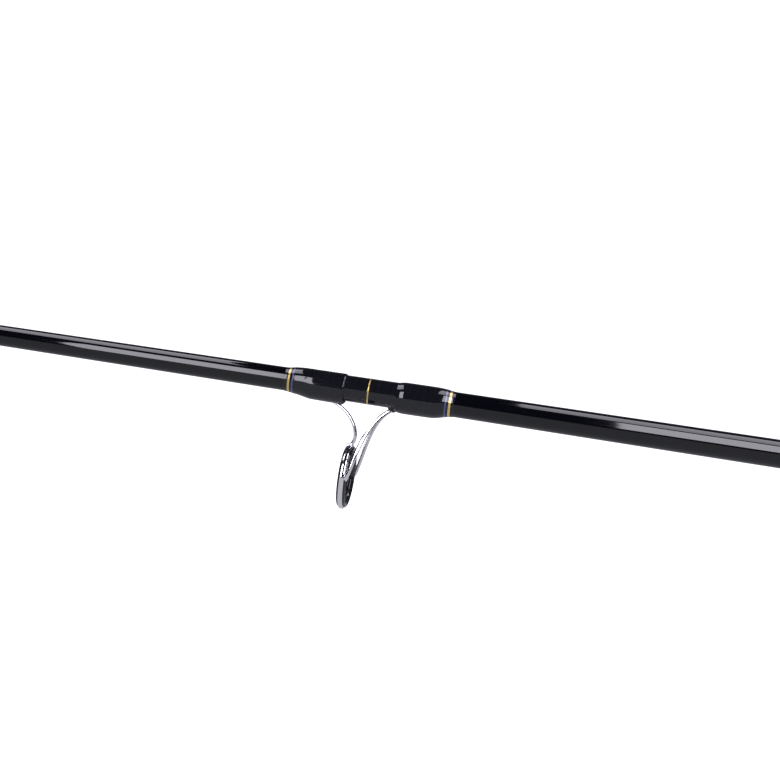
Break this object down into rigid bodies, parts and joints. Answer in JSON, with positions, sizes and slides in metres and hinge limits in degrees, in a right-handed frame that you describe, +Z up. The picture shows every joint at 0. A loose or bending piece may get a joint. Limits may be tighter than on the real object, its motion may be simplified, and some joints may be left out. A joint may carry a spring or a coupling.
{
  "type": "fishing rod and reel",
  "caption": "Two-piece spinning rod with ringed line guides and foam grips, and a screw-locked reel seat that holds a fixed-spool reel with crank, bail and drag.",
  "frame": {"origin": "centre of the butt cap's flat end, on the rod's axis", "axes": "X along the rod with the tip towards -X, +Z up, guides and reel hang towards -Z, crank on the -Y side"},
  "size_m": [2.1062, 0.1033, 0.162],
  "materials": {
    "blank_gloss": "clear-coated gloss black carbon composite",
    "wrap_resin": "black thread under thick clear resin",
    "gold_thread": "metallic gold thread under resin",
    "blue_thread": "blue thread under resin",
    "guide_steel": "polished stainless steel",
    "ring_ceramic": "polished black ceramic",
    "grip_foam": "fine closed-cell foam",
    "black_rubber": "satin moulded rubber",
    "seat_black": "satin",
    "gold_anodised": "satin anodised",
    "arbor_foam": "rigid foam",
    "reel_paint": "gloss black paint",
    "gear_brass": "machined",
    "bright_steel": "ground",
    "zinc_grey": "cast",
    "roller_gold": "hard-coated",
    "drag_carbon": "woven friction disc"
  },
  "bodies": {
    "butt_section": {"butt_blank": "blank_gloss", "butt_cap": "black_rubber", "rear_grip": "grip_foam", "rear_check": "gold_anodised", "seat_arbor": "arbor_foam", "seat_tube": "seat_black", "fixed_hood": "seat_black", "fore_grip": "grip_foam", "front_check": "gold_anodised", "hook_keeper": "guide_steel", "keeper_wraps": "wrap_resin", "guide_1_frame": "guide_steel", "guide_1_ring": "ring_ceramic", "guide_1_wraps": "wrap_resin", "butt_gold_trims": "gold_thread", "butt_blue_trims": "blue_thread", "reel_body": "reel_paint", "side_cover": "reel_paint", "cover_screws": "bright_steel", "crank_bearings": "bright_steel", "pinion_bearing": "bright_steel", "one_way_clutch": "bright_steel"},
    "tip_section": {"tip_blank": "blank_gloss", "ferrule_wrap": "wrap_resin", "ferrule_trims": "gold_thread", "guide_2_frame": "guide_steel", "guide_2_ring": "ring_ceramic", "guide_2_wraps": "wrap_resin", "guide_3_frame": "guide_steel", "guide_3_ring": "ring_ceramic", "guide_3_wraps": "wrap_resin", "guide_4_frame": "guide_steel", "guide_4_ring": "ring_ceramic", "guide_4_wraps": "wrap_resin", "guide_5_frame": "guide_steel", "guide_5_ring": "ring_ceramic", "guide_5_wraps": "wrap_resin", "tip_gold_trims": "gold_thread", "tip_blue_trims": "blue_thread", "tip_top_frame": "guide_steel", "tip_top_ring": "ring_ceramic", "tip_top_wrap": "wrap_resin"},
    "hood": {"sliding_hood": "seat_black"},
    "nut": {"lock_nut": "gold_anodised"},
    "crank": {"drive_gear": "gear_brass", "crank_arm": "reel_paint"},
    "knob": {"crank_knob": "black_rubber"},
    "crosswind": {"crosswind_gear": "zinc_grey"},
    "rotor_set": {"rotor": "reel_paint", "pinion": "gear_brass", "rotor_nut": "bright_steel"},
    "bail": {"bail_arms": "reel_paint", "bail_wire": "bright_steel"},
    "roller": {"line_roller": "roller_gold"},
    "shaft_set": {"main_shaft": "bright_steel", "shaft_slider": "zinc_grey"},
    "spool_set": {"spool": "gold_anodised", "drag_washers": "drag_carbon"},
    "drag": {"drag_knob": "reel_paint"}
  },
  "joints": [
    {"name": "ferrule_pull", "type": "slide", "parent": "butt_section", "child": "tip_section", "axis": [-1, 0, 0], "range_m": [0, 0.065]},
    {"name": "hood_slide", "type": "slide", "parent": "butt_section", "child": "hood", "axis": [-1, 0, 0], "range_m": [0, 0.01]},
    {"name": "lock_nut_turn", "type": "hinge", "parent": "hood", "child": "nut", "pos_m": [-0.44, 0, 0], "axis": [-1, 0, 0], "range_deg": [0, 1800]},
    {"name": "crank_turn", "type": "hinge", "parent": "butt_section", "child": "crank", "pos_m": [-0.375, 0, -0.0795], "axis": [0, 1, 0], "continuous": true},
    {"name": "knob_spin", "type": "hinge", "parent": "crank", "child": "knob", "pos_m": [-0.375, -0.055, -0.1335], "axis": [0, 1, 0], "continuous": true},
    {"name": "crosswind_turn", "type": "hinge", "parent": "butt_section", "child": "crosswind", "pos_m": [-0.356, 0, -0.0795], "axis": [0, 1, 0], "continuous": true},
    {"name": "rotor_turn", "type": "hinge", "parent": "butt_section", "child": "rotor_set", "pos_m": [-0.41, 0, -0.072], "axis": [-1, 0, 0], "continuous": true},
    {"name": "bail_flip", "type": "hinge", "parent": "rotor_set", "child": "bail", "pos_m": [-0.441, 0, -0.072], "axis": [0, 1, 0], "range_deg": [0, 120]},
    {"name": "roller_spin", "type": "hinge", "parent": "bail", "child": "roller", "pos_m": [-0.44692, -0.0294, -0.08469], "axis": [0, 1, 0], "continuous": true},
    {"name": "spool_stroke", "type": "slide", "parent": "butt_section", "child": "shaft_set", "axis": [-1, 0, 0], "range_m": [-0.007, 0.007]},
    {"name": "spool_drag_turn", "type": "hinge", "parent": "shaft_set", "child": "spool_set", "pos_m": [-0.44, 0, -0.072], "axis": [-1, 0, 0], "continuous": true},
    {"name": "drag_knob_turn", "type": "hinge", "parent": "shaft_set", "child": "drag", "pos_m": [-0.46, 0, -0.072], "axis": [-1, 0, 0], "range_deg": [-360, 360]}
  ],
  "couplings": [
    {"joint": "hood_slide", "follows": "lock_nut_turn", "m_per_rad": 0.00031831},
    {"joint": "rotor_turn", "follows": "crank_turn", "ratio": -5},
    {"joint": "crosswind_turn", "follows": "crank_turn", "ratio": -1}
  ]
}
